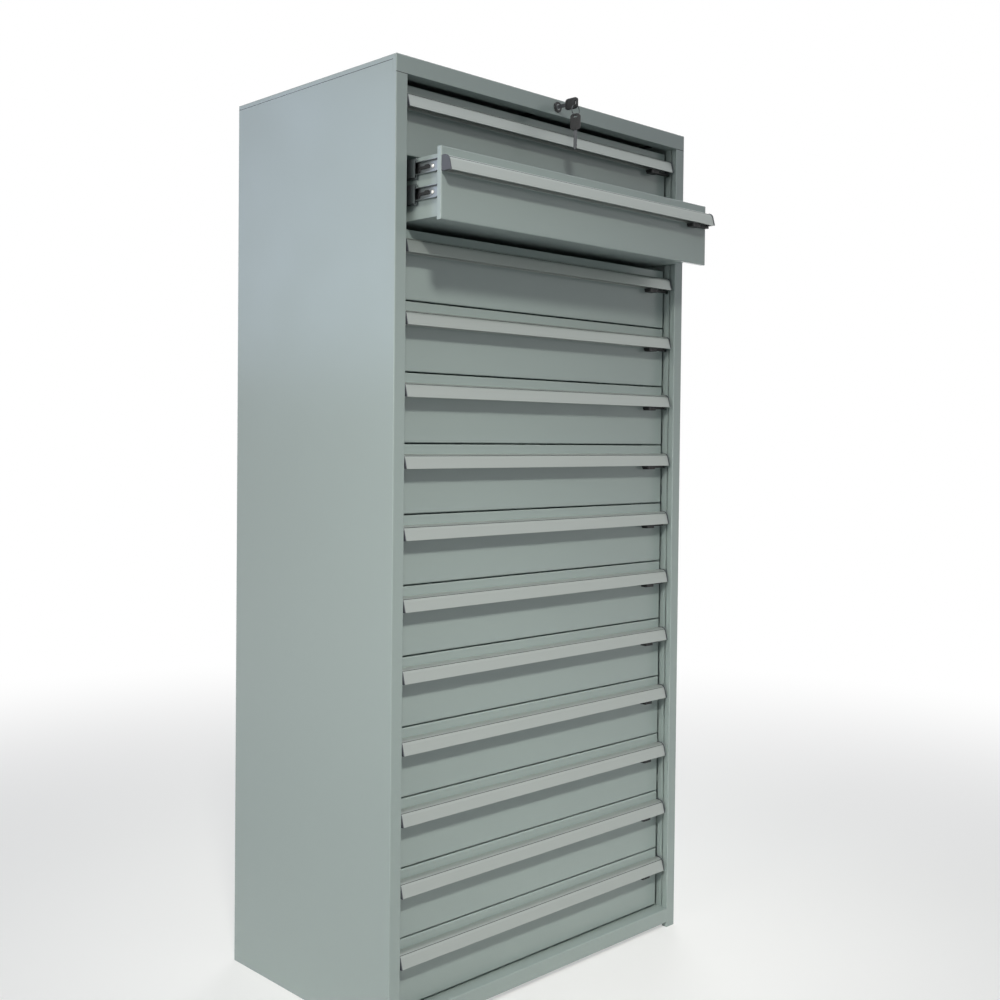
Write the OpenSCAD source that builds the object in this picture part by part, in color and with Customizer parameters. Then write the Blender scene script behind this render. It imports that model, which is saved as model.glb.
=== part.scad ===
// Tall tool cabinet with thirteen drawers on paired ball-bearing slides.
// Millimetres, +Z up, +X to the right seen from the front, front towards -Y.
// The origin is on the floor, at the centre of the closed cabinet's footprint.

/* [Cabinet body] */
// Overall width across the side panels
cabinet_w = 935; // [780:5:1100]
// Overall depth of the body
cabinet_d = 575; // [425:50:775]
// Sheet thickness of the body
sheet_t = 1.2; // [0.8:0.1:1.6]
// Outer radius of the bends in the sheet
bend_r = 2.4; // [1.8:0.1:4]
// Face width of the post folded from each side panel
post_w = 30; // [26:1:40]
// Depth of the return behind each post
post_return = 15; // [8:1:18]
// Width of the in-turned flanges on the side panels
flange_w = 20; // [12:1:26]
// Width of the slide uprights, front to back
upright_w = 40; // [30:1:60]
// Distance of each upright from its end of the slides
upright_in = 45; // [30:1:90]
// Seam left open between two neighbouring sheets
seam = 0.3; // [0.2:0.1:0.8]

/* [Top cover] */
// Height of the front fascia
fascia_h = 36; // [32:1:60]
// Depth of the return under the fascia
fascia_return = 34; // [20:1:40]
// Height of the lip turned up behind that return
fascia_lip = 9; // [5:1:11]
// Height of the cover's edge along the sides and the back
cover_edge_h = 10; // [6:1:16]
// Width of the fascia where it wraps onto each side
cover_wrap_w = 11; // [6:1:20]

/* [Base] */
// Clearance under the front rail
floor_gap = 12; // [6:1:30]
// Height of the front rail
rail_h = 35; // [28:1:60]
// Depth of the return under the rail
rail_return = 25; // [15:1:40]
// Height of the down-turned edges of the bottom plate
base_skirt_h = 25; // [15:1:27]
// Width of the floor channel welded under the bottom plate
floor_channel_w = 60; // [40:5:120]

/* [Drawer fronts] */
// Vertical distance from one drawer to the next
drawer_pitch = 146.5; // [140:0.5:170]
// Gap between two neighbouring drawer fronts
panel_gap = 3; // [2:0.5:5]
// Gap between the rail and the lowest drawer front
base_gap = 5; // [3:0.5:10]
// Gap between the highest drawer front and the fascia
head_gap = 10.5; // [6:0.5:20]
// Distance of the drawer fronts behind the posts
panel_recess = 32; // [28:1:36]
// Gap between a drawer front and a post
side_gap = 6.5; // [4:0.5:10]
// Air beside a drawer front, up to the face of the uprights
upright_air = 0.9; // [0.5:0.1:2]
// Depth of the folded edges of a drawer front
panel_fold = 12; // [10:1:15]
// How far the second drawer stands open
open_rest = 128; // [0:1:300]

/* [Drawer trays] */
// Sheet thickness of the drawers
tray_t = 1.2; // [0.8:0.1:1.6]
// Space from a tray's rear wall to the back of the cabinet
rear_room = 38; // [32:1:60]
// Height of the tray floor above the lower edge of the front
tray_rise = 10; // [6:1:14]
// Distance of the tray's rim below the upper edge of the front
rim_drop = 10.5; // [8:0.5:16]
// Width of the rim turned in along the top of the walls
tray_rim = 8; // [5:1:12]
// Air between a slide and the wall it is screwed to
slide_seat = 0.2; // [0.1:0.05:0.3]

/* [Slides] */
// How far a slide reaches behind the tray
slide_tail = 13; // [0:0.5:16]
// Space from the folded edge of a front to the slides
slide_set = 6; // [3:0.5:8]
// Height of the outer member
slide_h = 45; // [44:0.5:48]
// Height of the intermediate member
slide_mid_h = 35.2; // [34.8:0.2:36]
// Height of the inner member
slide_inner_h = 25.4; // [25:0.2:26]
// Thickness of the whole slide
slide_t = 12.7; // [12.5:0.1:13.5]
// Diameter of the balls
ball_d = 3.2; // [2.8:0.1:3.4]
// Sheet thickness of the members
slide_gauge = 1.2; // [1:0.1:1.3]
// Running clearance between moving pieces
run = 0.3; // [0.2:0.05:0.4]
// Distance between the two slides of one side
slide_pitch = 51.5; // [50:0.5:53]

/* [Handles] */
// Height of the handle profile
handle_h = 30; // [27:0.5:36]
// Distance of the handle's lip below the top of the front
handle_drop = 50; // [44:0.5:60]
// Reach of the handle in front of the drawer front
handle_out = 27.5; // [22:0.5:28]
// Radius of the shoulder
handle_r = 13; // [8:0.5:14]
// Lean of the grip face from upright, in degrees
handle_lean = 15; // [4:0.5:18]
// Wall of the handle profile
handle_wall = 1.8; // [1.4:0.1:2.4]
// Width of the lip turned in under the grip face
handle_lip = 5; // [3:0.5:7]
// Place of the groove on the shoulder, in degrees above level
groove_turn = 44; // [25:1:75]
// Width of the groove
groove_w = 1.4; // [0.8:0.1:2]
// Depth of the groove
groove_d = 0.7; // [0.4:0.1:0.9]
// Thickness of the end caps
cap_t = 2.5; // [2:0.1:4]
// How far an end cap stands proud of the profile
cap_proud = 1; // [0.2:0.1:1.2]
// Air between a profile and its end cap
cap_seat = 0.1; // [0.05:0.05:0.2]

/* [Latches] */
// Distance of the thumb tab's centre from the right end of the front
latch_in = 61; // [50:1:80]
// Width of the thumb tab
latch_tab_w = 28; // [20:1:34]
// Reach of the thumb tab in front of the drawer front
latch_tab_out = 20; // [14:0.5:22]
// Height of the thumb tab
latch_tab_h = 8.5; // [6:0.5:12]
// Corner radius of the thumb tab
latch_tab_r = 3; // [1:0.5:5]
// Width and depth of the grooves across the thumb tab
latch_groove_w = 1.2; // [0.8:0.1:2]
// Distance between two of those grooves
latch_groove_pitch = 5; // [3:0.5:6]
// Height of the bolt
latch_bolt_h = 5; // [4:0.5:6]
// Depth of the bolt
latch_bolt_d = 9.5; // [6:0.5:12]
// Width of the stem through the drawer front
latch_stem_w = 10; // [6:1:12]
// Travel of the bolt
latch_travel = 12; // [9:0.5:14]

/* [Lock] */
// Radius of the lock barrel
barrel_r = 9.5; // [8:0.5:11]
// Length of the barrel behind the fascia
barrel_len = 22; // [18:1:26]
// Radius of the bezel
bezel_r = 12; // [11:0.5:15]
// Thickness of the bezel
bezel_t = 3; // [2:0.5:5]
// Chamfer on the bezel
bezel_chamfer = 1; // [0.5:0.1:1.5]
// Radius of the plug
plug_r = 6.5; // [6:0.1:7]
// Radius of the tail rod
rod_r = 4; // [3:0.5:5]
// Throw of the crank at the end of the rod
crank_throw = 9; // [8:0.5:9.5]
// Radius of the crank pin
pin_r = 2.5; // [2:0.25:3]
// Thickness of the crank
crank_t = 4; // [3:0.5:5]
// Width of the lock bar
bar_w = 30; // [26:1:40]
// Thickness of the lock bar
bar_t = 3; // [2:0.5:4]
// Width of the catches on the bar and on the trays
catch_w = 16; // [10:1:20]
// Sheet thickness of the catches
catch_t = 2; // [1.5:0.5:3]
// Clear space in front of and behind a catch
catch_clear = 4; // [3:0.5:5]

/* [Key] */
// Length of the key's head
key_head_l = 37; // [28:0.5:42]
// Width of the key's head
key_head_w = 25; // [20:0.5:28]
// Thickness of the key's head
key_head_t = 4.4; // [4:0.2:6]
// Corner radius of the key's head
key_head_r = 9; // [6:0.5:10]
// Chamfer on the key's head
key_chamfer = 0.9; // [0.4:0.1:1.2]
// Margin around the recessed field on each face of the head
key_field_in = 5; // [4:0.5:6]
// Depth of that field
key_field_d = 0.6; // [0.4:0.1:1]
// Length of the blade between the lock and the head
key_neck = 22; // [12:0.5:24]
// Height of the key's blade
key_blade_h = 8; // [6:0.5:9]
// Thickness of the key's blade
key_blade_t = 2; // [1.6:0.2:2.4]
// Distance between two cuts in the key's blade
key_cut_pitch = 3.4; // [2.6:0.2:3.6]
// Half the height of the slot for a ring
key_slot_r = 2.2; // [1.8:0.1:2.5]
// Width of that slot
key_slot_w = 11; // [8:0.5:14]
// Distance of the slot's middle from the outer end of the head
key_slot_in = 6.5; // [5:0.5:9]

/* [Hidden] */
$fn = 48;
eps = 0.01;
// Distance by which a cut runs past the faces that it opens, or a piece into the one that holds it
past = 1;
drawer_count = 13;
open_drawer = 2;
drawers = [1 : drawer_count];

// Levels and planes of the body
front_y = -cabinet_d / 2;
back_y = cabinet_d / 2;
base_top = floor_gap + rail_h;
lowest_panel = base_top + base_gap;
panel_h = drawer_pitch - panel_gap;
fascia_low = lowest_panel + (drawer_count - 1) * drawer_pitch + panel_h + head_gap;
cabinet_h = fascia_low + fascia_h;
body_top = cabinet_h - cover_edge_h;
inner_half = cabinet_w / 2 - sheet_t;
opening_half = cabinet_w / 2 - post_w;
back_face = back_y - 2 * sheet_t;

// Drawers and slides
panel_half = opening_half - side_gap;
panel_y = front_y + panel_recess;
slide_y = panel_y + panel_fold + slide_set;
upright_face = panel_half + upright_air;
tray_half = upright_face - slide_t - slide_seat;
tray_back = back_y - rear_room;
tray_top = panel_h - rim_drop;
slide_len = tray_back + slide_tail - slide_y;
slide_levels = [tray_top - slide_h / 2 - slide_pitch, tray_top - slide_h / 2];
lip_z = panel_h - handle_drop;
// Centre of the grip's round shoulder, as [outward, up]
shoulder_up = handle_h - handle_r;
shoulder = [handle_out - handle_r / cos(handle_lean) - tan(handle_lean) * shoulder_up, shoulder_up];

// Members of one slide, measured across it from the upright
member_air = 1;
outer_lip = 2;
mid_web = slide_gauge + member_air;
mid_reach = slide_t - slide_gauge - member_air;
outer_reach = mid_reach - run;
inner_start = mid_web + slide_gauge + member_air;
race_start = (mid_web + slide_gauge + mid_reach - ball_d) / 2;

// Latches
latch_top = lip_z - 2 * run;
latch_x = panel_half - latch_in;
stem_gap = 2;
stem_x = latch_x + latch_tab_w / 2 + stem_gap;
stem_low = latch_top - latch_bolt_h + 2 * run;
stem_high = latch_top - 2 * run;
keeper_over = 3;

// Lock, crank and catches
lock_z = cabinet_h - fascia_h / 2;
catch_lip_y = tray_back + 3 * catch_clear;
bar_y = catch_lip_y + catch_t + catch_clear;
crank_rest = 45;
crank_gap = 1;
bar_lift = 2 * crank_throw * sin(crank_rest);
pin_x = -crank_throw * cos(crank_rest);
pin_z = lock_z - crank_throw * sin(crank_rest);
pin_slack = 2 * run;
bar_x = (pin_x - crank_throw) / 2;
bar_foot = 20;
catch_level = 70;
catch_rest_gap = 2;
catch_lip_low = catch_level - catch_t - bar_lift - catch_clear + catch_rest_gap;
hanger_gap = 12;
nut_t = 4;
nut_wall = 4;
guide_wall = 2;
guide_h = 20;
guide_level = 105;
guided_drawers = [2, 7, 12];

// Key
key_cuts = [2.4, 1.4, 3, 1.8];
key_tip_gap = 4;
head_back = front_y - bezel_t - key_neck;
head_out = head_back - key_head_l;
field_out = head_out + key_slot_in + key_slot_r + key_field_in / 2;
key_tip_y = front_y + barrel_len - key_tip_gap;

// Colours
paint = [0.60, 0.63, 0.62];
alloy = [0.68, 0.70, 0.71];
zinc = [0.74, 0.75, 0.77];
black_plastic = [0.09, 0.09, 0.10];
dark_plastic = [0.28, 0.29, 0.32];

function two(k) = k < 10 ? str("0", k) : str(k);
function drawer_name(k, piece) = str("drawer_", two(k), "_", piece);
function panel_z(k) = lowest_panel + (drawer_count - k) * drawer_pitch;
function open_by(k) = k == open_drawer ? open_rest : 0;

// Box given by two opposite corners
module block(low, high) {
    translate(low) cube(high - low);
}

// The same piece on the right and on the left
module both_sides() {
    children();
    mirror([1, 0, 0]) children();
}

// Outline extruded along X between two stations, drawn as [outward, up]
module along_x(from, to) {
    translate([from, 0, 0])
        rotate([90, 0, 90])
            linear_extrude(to - from) mirror([1, 0]) children();
}

// Outline extruded along Y between two stations, drawn as [right, up]
module along_y(from, to) {
    translate([0, to, 0]) rotate([90, 0, 0]) linear_extrude(to - from) children();
}

// Rectangle with round corners, given by two opposite corners
module rounded(low, high, r) {
    size = high - low;
    translate(low + [r, 0]) square([size.x - 2 * r, size.y]);
    translate(low + [0, r]) square([size.x, size.y - 2 * r]);
    for (x = [low.x + r, high.x - r], y = [low.y + r, high.y - r])
        translate([x, y]) circle(r);
}

// Quarter bend of a sheet about a centre, turned to its quadrant
module bend(centre, turn) {
    translate(centre)
        rotate(turn)
            intersection() {
                difference() {
                    circle(bend_r);
                    circle(bend_r - sheet_t);
                }
                square(bend_r);
            }
}

// Sheet outline of the right side panel, seen from above
module side_outline() {
    edge = cabinet_w / 2;
    start = front_y + bend_r;
    translate([edge - sheet_t, start]) square([sheet_t, cabinet_d - 2 * bend_r]);
    translate([opening_half + bend_r, front_y]) square([post_w - 2 * bend_r, sheet_t]);
    translate([opening_half, start]) square([sheet_t, post_return - bend_r]);
    translate([edge - flange_w, back_y - sheet_t]) square([flange_w - bend_r, sheet_t]);
    bend([edge - bend_r, start], 270);
    bend([opening_half + bend_r, start], 180);
    bend([edge - bend_r, back_y - bend_r], 0);
}

// Channel that carries the slides, open towards the side panel
module upright_outline(y) {
    reach = inner_half + sheet_t / 2 - upright_face;
    translate([upright_face, y]) square([sheet_t, upright_w]);
    translate([upright_face, y]) square([reach, sheet_t]);
    translate([upright_face, y + upright_w - sheet_t]) square([reach, sheet_t]);
}

module side_panel() {
    edge = cabinet_w / 2;
    wrap_end = front_y + cover_wrap_w + seam;
    difference() {
        linear_extrude(body_top) side_outline();
        block([0, front_y - past, fascia_low], [edge + past, wrap_end, cabinet_h]);
        block([0, front_y - past, fascia_low], [inner_half, front_y + post_return + past, cabinet_h]);
    }
    block([edge - flange_w, wrap_end, body_top - sheet_t], [edge, back_y - bend_r, body_top]);
    block([opening_half, wrap_end, body_top - sheet_t], [edge, slide_y, body_top]);
    block([edge - flange_w, front_y + bend_r, 0], [edge, back_y - bend_r, sheet_t]);
    for (y = [slide_y + upright_in, slide_y + slide_len - upright_in - upright_w])
        translate([0, 0, base_top])
            linear_extrude(fascia_low - base_top) upright_outline(y);
}

module side_panels() {
    color(paint) both_sides() side_panel();
}

// Rear sheet with the straps that guide the lock bar
module back_panel() {
    low = sheet_t + seam;
    high = body_top - sheet_t - seam;
    edge = cabinet_w / 2 - bend_r - seam;
    half = bar_w / 2 + run + guide_wall;
    color(paint) {
        block([-edge, back_face, low], [edge, back_face + sheet_t, high]);
        for (k = guided_drawers)
            translate([bar_x, 0, panel_z(k) + guide_level])
                difference() {
                    block([-half, bar_y - run - guide_wall, 0], [half, back_face + eps, guide_h]);
                    block([-bar_w / 2 - run, bar_y - run, -past],
                          [bar_w / 2 + run, bar_y + bar_t + run, guide_h + past]);
                }
    }
}

// Block with round bends, drawn inwards from the cover's faces by a margin
module cover_block(inset, low) {
    edge = cabinet_w / 2 - inset;
    front = front_y + inset;
    back = back_y - inset;
    top = cabinet_h - inset;
    r = bend_r - inset;
    deep = low - 2 * bend_r;
    intersection() {
        translate([0, 0, low]) linear_extrude(top - low) rounded([-edge, front], [edge, back], r);
        along_x(-edge, edge) rounded([-back, deep], [-front, top], r);
        along_y(front, back) rounded([-edge, deep], [edge, top], r);
    }
}

// Folded cover: top sheet, fascia with its return, short wraps and shallow edges
module cover_shell() {
    edge = cabinet_w / 2;
    return_half = opening_half - seam;
    return_y = front_y + fascia_return;
    difference() {
        cover_block(0, fascia_low);
        cover_block(sheet_t, fascia_low - past);
        block([-edge - past, front_y + cover_wrap_w, fascia_low - past],
              [edge + past, back_y + past, body_top]);
    }
    block([-return_half, front_y, fascia_low], [return_half, return_y, fascia_low + sheet_t]);
    block([-return_half, return_y - sheet_t, fascia_low], [return_half, return_y, fascia_low + fascia_lip]);
}

// Hanger under the cover that steadies the rear end of the tail rod
module rod_hanger() {
    y = bar_y - crank_t - hanger_gap;
    half = 3 * rod_r;
    block([-half, y, lock_z - 2.5 * rod_r], [half, y + catch_t, cabinet_h - eps]);
}

// Place a child on the lock's axis, pointing to the back
module on_lock_axis(y) {
    translate([0, y, lock_z]) rotate([-90, 0, 0]) children();
}

module bezel() {
    cylinder(r1 = bezel_r - bezel_chamfer, r2 = bezel_r, h = bezel_chamfer);
    translate([0, 0, bezel_chamfer]) cylinder(r = bezel_r, h = bezel_t - bezel_chamfer);
}

module lock_barrel() {
    difference() {
        union() {
            on_lock_axis(front_y - bezel_t - slide_seat) bezel();
            on_lock_axis(front_y - bezel_t) cylinder(r = barrel_r, h = bezel_t + barrel_len);
            on_lock_axis(front_y + sheet_t + slide_seat)
                cylinder(r = barrel_r + nut_wall, h = nut_t, $fn = 6);
        }
        on_lock_axis(front_y - bezel_t - past)
            cylinder(r = plug_r + run, h = bezel_t + barrel_len + 2 * past);
    }
}

module top_cover() {
    color(paint)
        difference() {
            union() {
                cover_shell();
                rod_hanger();
            }
            on_lock_axis(front_y - past) cylinder(r = barrel_r + run, h = sheet_t + 2 * past);
            on_lock_axis(bar_y - 3 * hanger_gap) cylinder(r = rod_r + run, h = 3 * hanger_gap);
        }
    color(zinc) lock_barrel();
}

// Front rail with the strip of plate that runs back from it, drawn as [outward, up]
module rail_outline(end_y) {
    centre = -front_y - bend_r;
    translate([-end_y, base_top - sheet_t]) square([centre + end_y, sheet_t]);
    translate([-front_y - sheet_t, floor_gap + bend_r]) square([sheet_t, rail_h - 2 * bend_r]);
    translate([-front_y - rail_return, floor_gap]) square([rail_return - bend_r, sheet_t]);
    bend([centre, base_top - bend_r], 0);
    bend([centre, floor_gap + bend_r], 270);
}

// Bottom plate with its front rail, skirts and floor channel
module base_frame() {
    rail_half = opening_half - seam;
    behind_posts = front_y + post_return + seam;
    plate_low = base_top - sheet_t;
    channel_half = cabinet_w / 2 - flange_w - seam;
    color(paint) {
        along_x(-rail_half, rail_half) rail_outline(behind_posts + past);
        block([-inner_half, behind_posts, plate_low], [inner_half, back_face, base_top]);
        block([-inner_half, back_face - sheet_t, base_top - base_skirt_h],
              [inner_half, back_face, base_top]);
        both_sides()
            block([inner_half - sheet_t, behind_posts, base_top - base_skirt_h],
                  [inner_half, back_face, base_top]);
        block([-channel_half, -floor_channel_w / 2, 0], [channel_half, floor_channel_w / 2, sheet_t]);
        for (y = [-floor_channel_w / 2, floor_channel_w / 2 - sheet_t])
            block([-channel_half, y, 0], [channel_half, y + sheet_t, base_top - eps]);
    }
}

// Slide sections, drawn as [distance from the upright, height above the slide's centre]
module section_channel(h, from, to, web_at) {
    translate([web_at, -h / 2]) square([slide_gauge, h]);
    for (low = [-h / 2, h / 2 - slide_gauge])
        translate([from, low]) square([to - from, slide_gauge]);
}

module outer_section() {
    section_channel(slide_h, 0, outer_reach, 0);
    for (low = [-slide_h / 2, slide_h / 2 - outer_lip])
        translate([outer_reach - slide_gauge, low]) square([slide_gauge, outer_lip]);
}

// The ball trains are drawn as ridges along the flanges of the intermediate member
module mid_section() {
    outside = slide_h / 2 - slide_gauge - run;
    inside = slide_inner_h / 2 + run;
    section_channel(slide_mid_h, mid_web, mid_reach, mid_web);
    for (side = [-1, 1])
        scale([1, side])
            translate([race_start, inside]) square([ball_d, outside - inside]);
}

module inner_section() {
    section_channel(slide_inner_h, inner_start, slide_t, slide_t - slide_gauge);
}

// One member on the right side, with its front end at the given station
module slide_member(level, y) {
    translate([upright_face, y, level])
        rotate([90, 0, 0]) mirror([1, 0, 0])
            translate([0, 0, -slide_len]) linear_extrude(slide_len) children();
}

module slide_outer_rails() {
    color(zinc)
        both_sides()
            for (k = drawers, level = slide_levels)
                slide_member(panel_z(k) + level, slide_y) outer_section();
}

module drawer_slides_mid(k) {
    color(zinc)
        both_sides()
            for (level = slide_levels)
                slide_member(panel_z(k) + level, slide_y - open_by(k) / 2) mid_section();
}

// Inner members, in the tray's own place
module tray_slides() {
    color(zinc)
        both_sides()
            for (level = slide_levels)
                slide_member(level, slide_y) inner_section();
}

// Block with round bends towards the front, drawn inwards from the front sheet by a margin
module front_block(inset) {
    half = panel_half - inset;
    face = panel_y + inset;
    end = panel_y + panel_fold + 2 * bend_r;
    r = bend_r - inset;
    intersection() {
        along_x(-half, half) rounded([-end, inset], [-face, panel_h - inset], r);
        translate([0, 0, inset]) linear_extrude(panel_h - 2 * inset) rounded([-half, face], [half, end], r);
    }
}

// Front sheet with its edges folded back
module tray_front() {
    fold_end = panel_y + panel_fold;
    difference() {
        front_block(0);
        front_block(tray_t);
        block([-panel_half - past, fold_end, -past],
              [panel_half + past, fold_end + 3 * bend_r, panel_h + past]);
        latch_slot();
    }
}

// Open box behind the front, with a rim turned in along the walls
module tray_box() {
    start = panel_y + tray_t / 2;
    difference() {
        block([-tray_half, start, tray_rise], [tray_half, tray_back, tray_top]);
        block([-tray_half + tray_t, start - past, tray_rise + tray_t],
              [tray_half - tray_t, tray_back - tray_t, tray_top - tray_t]);
        block([-tray_half + tray_rim, start - past, tray_top - tray_t - past],
              [tray_half - tray_rim, tray_back - tray_rim, tray_top + past]);
    }
}

// Hook welded to the rear wall, which the lock bar catches
module tray_catch() {
    lip_end = catch_lip_y + catch_t;
    translate([bar_x - catch_w / 2, 0, 0]) {
        block([0, tray_back - tray_t / 2, catch_level - catch_t], [catch_w, lip_end, catch_level]);
        block([0, catch_lip_y, catch_lip_low], [catch_w, lip_end, catch_level]);
    }
}

module drawer_tray(k) {
    translate([0, -open_by(k), panel_z(k)]) {
        color(paint) {
            tray_front();
            tray_box();
            tray_catch();
        }
        tray_slides();
    }
}

// Outside of the handle profile, drawn inwards by a margin, as [outward, up]
module hood_outline(inset, foot) {
    r = handle_r - inset;
    edge = handle_out - inset / cos(handle_lean);
    top = handle_h - inset;
    polygon([
        [inset, foot],
        [edge - tan(handle_lean) * foot, foot],
        shoulder + r * [cos(handle_lean), sin(handle_lean)],
        [shoulder.x, top],
        [inset, top]]);
    intersection() {
        translate(shoulder) circle(r);
        translate(shoulder) square(r);
    }
}

// Hollow profile, open underneath, with a turned-in lip and a groove along the shoulder
module handle_profile() {
    difference() {
        hood_outline(0, 0);
        difference() {
            hood_outline(handle_wall, -past);
            translate([handle_out - handle_lip, -2 * past]) square([handle_lip, 2 * past + handle_wall]);
        }
        translate(shoulder)
            rotate(groove_turn)
                translate([handle_r - groove_d, -groove_w / 2]) square([2 * groove_d, groove_w]);
    }
}

module handle_cap_outline() {
    intersection() {
        hood_outline(-cap_proud, 0);
        translate([cap_seat, 0]) square([2 * handle_out, 2 * handle_h]);
    }
}

module drawer_handle(k) {
    end = panel_half - cap_t - cap_seat;
    translate([0, panel_y - open_by(k), panel_z(k) + lip_z]) {
        color(alloy) along_x(-end, end) handle_profile();
        color(dark_plastic)
            both_sides() along_x(panel_half - cap_t, panel_half) handle_cap_outline();
    }
}

// Latch: a bolt with a thumb tab, held by a stem in a slot of the drawer front
module latch_slot() {
    block([stem_x - run, panel_y - past, stem_low - run],
          [stem_x + latch_stem_w + latch_travel + run, panel_y + tray_t + past, stem_high + run]);
}

// Thumb tab with round corners and grooves across its front
module latch_tab() {
    half = latch_tab_w / 2;
    difference() {
        linear_extrude(latch_tab_h) rounded([-half, -latch_tab_out], [half, -run], latch_tab_r);
        for (x = [-1, 0, 1] * latch_groove_pitch)
            block([x - latch_groove_w / 2, -latch_tab_out - past, -past],
                  [x + latch_groove_w / 2, -latch_tab_out + latch_groove_w, latch_tab_h + past]);
    }
}

module drawer_latch(k) {
    tab_half = latch_tab_w / 2;
    translate([0, panel_y - open_by(k), panel_z(k)])
        color(black_plastic) {
            block([latch_x - tab_half, -run - latch_bolt_d, latch_top - latch_bolt_h],
                  [panel_half - run, -run, latch_top]);
            translate([latch_x, 0, latch_top - latch_tab_h]) latch_tab();
            block([stem_x, -run - past, stem_low], [stem_x + latch_stem_w, tray_t + run + past, stem_high]);
            block([stem_x - keeper_over, tray_t + run, stem_low - keeper_over],
                  [stem_x + latch_stem_w + keeper_over, tray_t + run + catch_t, stem_high + keeper_over]);
        }
}

// Plug with its keyway, tail rod and crank
module lock_plug() {
    front = front_y - bezel_t;
    crank_y = bar_y - crank_t - crank_gap;
    color(zinc)
        difference() {
            union() {
                on_lock_axis(front) cylinder(r = plug_r, h = bezel_t + barrel_len);
                on_lock_axis(front + bezel_t + barrel_len - past)
                    cylinder(r = rod_r, h = crank_y - front_y - barrel_len + 2 * past);
                translate([0, crank_y, lock_z]) crank();
            }
            block([-key_blade_t / 2 - run, front - past, lock_z - key_blade_h / 2 - run],
                  [key_blade_t / 2 + run, key_tip_y + run, lock_z + key_blade_h / 2 + run]);
        }
}

// Arm and pin, set 45 degrees below level at rest
module crank() {
    rotate([-90, 0, 0]) {
        cylinder(r = rod_r + catch_t, h = crank_t);
        rotate(90 - crank_rest) {
            translate([-rod_r, 0, 0]) cube([2 * rod_r, crank_throw, crank_t]);
            translate([0, crank_throw, 0]) cylinder(r = rod_r, h = crank_t);
            translate([0, crank_throw, 0]) cylinder(r = pin_r, h = crank_t + bar_t + catch_clear);
        }
    }
}

// Vertical bar that lifts behind the drawers, with one hook to each of them
module lock_bar() {
    half = bar_w / 2;
    slot_half = pin_r + pin_slack;
    top = pin_z + slot_half + catch_clear;
    color(zinc)
        difference() {
            union() {
                block([bar_x - half, bar_y, panel_z(drawer_count) + bar_foot],
                      [bar_x + half, bar_y + bar_t, top]);
                for (k = drawers) translate([0, 0, panel_z(k)]) bar_hook();
            }
            block([-crank_throw - slot_half, bar_y - past, pin_z - slot_half],
                  [pin_x + slot_half, bar_y + bar_t + past, pin_z + slot_half]);
        }
}

module bar_hook() {
    hook_y = tray_back + catch_clear;
    arm_low = catch_lip_low - bar_lift - 2 * catch_rest_gap - catch_t;
    translate([bar_x - catch_w / 2, 0, 0]) {
        block([0, hook_y, arm_low], [catch_w, bar_y + eps, arm_low + catch_t]);
        block([0, hook_y, arm_low], [catch_w, hook_y + catch_clear, catch_lip_low - catch_rest_gap]);
    }
}

// Rectangle with chamfered corners, given by two opposite corners
module chamfered(low, high, c) {
    polygon([
        [low.x + c, low.y], [high.x - c, low.y], [high.x, low.y + c], [high.x, high.y - c],
        [high.x - c, high.y], [low.x + c, high.y], [low.x, high.y - c], [low.x, low.y + c]]);
}

// Outline extruded across the key between two stations, drawn as [to the back, up]
module across_key(from, to) {
    translate([from, 0, 0]) rotate([90, 0, 90]) linear_extrude(to - from) children();
}

// Slot for a ring near the outer end of the head, drawn as [to the back, up]
module ring_slot() {
    reach = key_slot_w / 2 - key_slot_r;
    translate([head_out + key_slot_in, 0]) {
        square([2 * key_slot_r, 2 * reach], center = true);
        for (up = [-reach, reach]) translate([0, up]) circle(key_slot_r);
    }
}

// Moulded head with chamfered edges, a recessed field on each face and the slot
module key_head() {
    half = key_head_w / 2;
    side = key_head_t / 2;
    field = half - key_field_in;
    difference() {
        intersection() {
            across_key(-side, side) rounded([head_out, -half], [head_back, half], key_head_r);
            along_y(head_out, head_back) chamfered([-side, -half], [side, half], key_chamfer);
            translate([0, 0, -half])
                linear_extrude(key_head_w)
                    chamfered([-side, head_out], [side, head_back], key_chamfer);
        }
        for (from = [-side - past, side - key_field_d])
            across_key(from, from + key_field_d + past)
                rounded([field_out, -field], [head_back - key_field_in, field], key_field_in);
        across_key(-side - past, side + past) ring_slot();
    }
}

// Blade with a pointed tip and cuts along its lower edge, drawn as [to the back, up]
module blade_outline() {
    half = key_blade_h / 2;
    start = head_back - past;
    shoulder = key_tip_y - half;
    difference() {
        polygon([[start, -half], [shoulder, -half], [key_tip_y, 0], [shoulder, half], [start, half]]);
        for (i = [1 : len(key_cuts)])
            translate([shoulder - i * key_cut_pitch, key_cuts[i - 1] - half])
                polygon([[0, 0], [key_cut_pitch / 2, -key_blade_h], [-key_cut_pitch / 2, -key_blade_h]]);
    }
}

// Flat key in the lock
module key() {
    side = key_blade_t / 2;
    color(black_plastic)
        translate([0, 0, lock_z]) {
            key_head();
            across_key(-side, side) blade_outline();
        }
}

side_panels();
back_panel();
top_cover();
base_frame();
slide_outer_rails();
lock_plug();
key();
lock_bar();
for (k = drawers) {
    drawer_tray(k);
    drawer_handle(k);
    drawer_latch(k);
    drawer_slides_mid(k);
}
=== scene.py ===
# %% [markdown]
# # Tall tool cabinet
#
# The cabinet is a folded steel body with thirteen drawers. Its shape comes from the CAD frame, so this
# script only adds what a drawing leaves out: paint, metal and plastic finishes, the small fasteners on
# the slides, a strip of sheet behind each post, and the ring with the spare key that hangs from the lock.
# Everything is in metres, in the CAD frame.

# %% Load the CAD frame
import math

import bmesh
import bpy
import numpy as np
from mathutils import Matrix, Vector


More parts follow.
